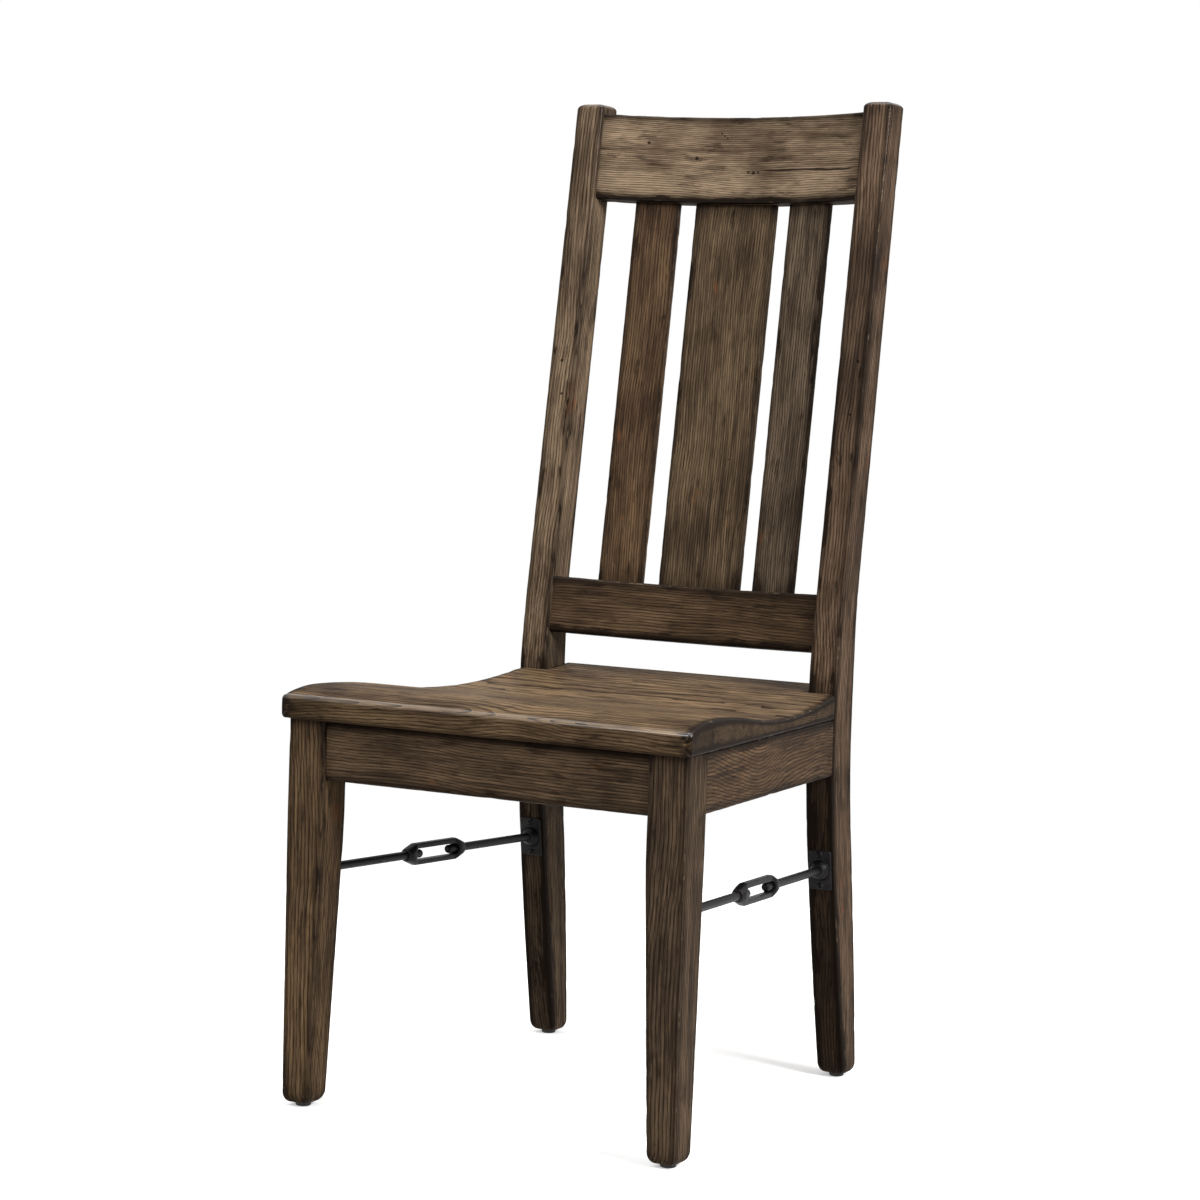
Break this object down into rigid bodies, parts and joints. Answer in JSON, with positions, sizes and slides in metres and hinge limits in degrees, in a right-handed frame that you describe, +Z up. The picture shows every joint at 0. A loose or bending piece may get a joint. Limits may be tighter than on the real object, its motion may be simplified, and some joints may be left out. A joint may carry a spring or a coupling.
{
  "type": "slat back dining chair",
  "caption": "Tall slat back dining chair in dark distressed oak, with a scooped plank seat, bowed back rails and open iron turnbuckle stretchers between front and rear legs.",
  "frame": {"origin": "on the floor, under the middle of the chair's bounding box", "axes": "+Z up, -Y to the front where the sitter's legs go, +X to the right as seen from the front"},
  "size_m": [0.491, 0.5815, 1.121],
  "materials": {
    "oak": "dark brown stained and distressed oak under a satin lacquer",
    "block_wood": "unstained hardwood corner blocks, inside the seat frame",
    "iron": "blackened iron with a semi-gloss sheen",
    "screw_steel": "plain zinc-plated wood screws",
    "glide_plastic": "black moulded foot glides"
  },
  "bodies": {
    "chair_frame": {"seat": "oak", "front_leg_left": "oak", "front_leg_right": "oak", "rear_post_left": "oak", "rear_post_right": "oak", "front_apron": "oak", "rear_apron": "oak", "side_apron_left": "oak", "side_apron_right": "oak", "crest_rail": "oak", "lower_back_rail": "oak", "centre_slat": "oak", "side_slat_left": "oak", "side_slat_right": "oak", "corner_block_front_left": "block_wood", "corner_block_front_right": "block_wood", "corner_block_rear_left": "block_wood", "corner_block_rear_right": "block_wood", "corner_block_screws": "screw_steel", "seat_screws": "screw_steel", "foot_glide_front_left": "glide_plastic", "foot_glide_front_right": "glide_plastic", "foot_glide_rear_left": "glide_plastic", "foot_glide_rear_right": "glide_plastic", "stretcher_plate_front_left": "iron", "stretcher_plate_front_right": "iron", "stretcher_plate_rear_left": "iron", "stretcher_plate_rear_right": "iron", "plate_screws": "iron"},
    "turnbuckle_body_left": {"turnbuckle_left": "iron"},
    "rod_front_left": {"stretcher_rod_front_left": "iron"},
    "rod_rear_left": {"stretcher_rod_rear_left": "iron"},
    "turnbuckle_body_right": {"turnbuckle_right": "iron"},
    "rod_front_right": {"stretcher_rod_front_right": "iron"},
    "rod_rear_right": {"stretcher_rod_rear_right": "iron"}
  },
  "joints": [
    {"name": "rod_slide_front_left", "type": "slide", "parent": "chair_frame", "child": "rod_front_left", "axis": [0.0701, 0.9973, -0.0211], "range_m": [0, 0.00317]},
    {"name": "rod_slide_rear_left", "type": "slide", "parent": "chair_frame", "child": "rod_rear_left", "axis": [-0.0701, -0.9973, 0.0211], "range_m": [0, 0.00318]},
    {"name": "turnbuckle_turn_left", "type": "hinge", "parent": "chair_frame", "child": "turnbuckle_body_left", "pos_m": [-0.20331, -0.03646, 0.25275], "axis": [0.0701, 0.9973, -0.0211], "range_deg": [0, 721]},
    {"name": "rod_slide_front_right", "type": "slide", "parent": "chair_frame", "child": "rod_front_right", "axis": [-0.0701, 0.9973, -0.0211], "range_m": [0, 0.00317]},
    {"name": "rod_slide_rear_right", "type": "slide", "parent": "chair_frame", "child": "rod_rear_right", "axis": [0.0701, -0.9973, 0.0211], "range_m": [0, 0.00318]},
    {"name": "turnbuckle_turn_right", "type": "hinge", "parent": "chair_frame", "child": "turnbuckle_body_right", "pos_m": [0.20331, -0.03646, 0.25275], "axis": [-0.0701, 0.9973, -0.0211], "range_deg": [0, 721]}
  ],
  "couplings": [
    {"joint": "rod_slide_rear_left", "follows": "rod_slide_front_left", "ratio": 1},
    {"joint": "turnbuckle_turn_left", "follows": "rod_slide_front_left", "rad_per_m": 3957.9},
    {"joint": "rod_slide_rear_right", "follows": "rod_slide_front_right", "ratio": 1},
    {"joint": "turnbuckle_turn_right", "follows": "rod_slide_front_right", "rad_per_m": 3957.9}
  ]
}
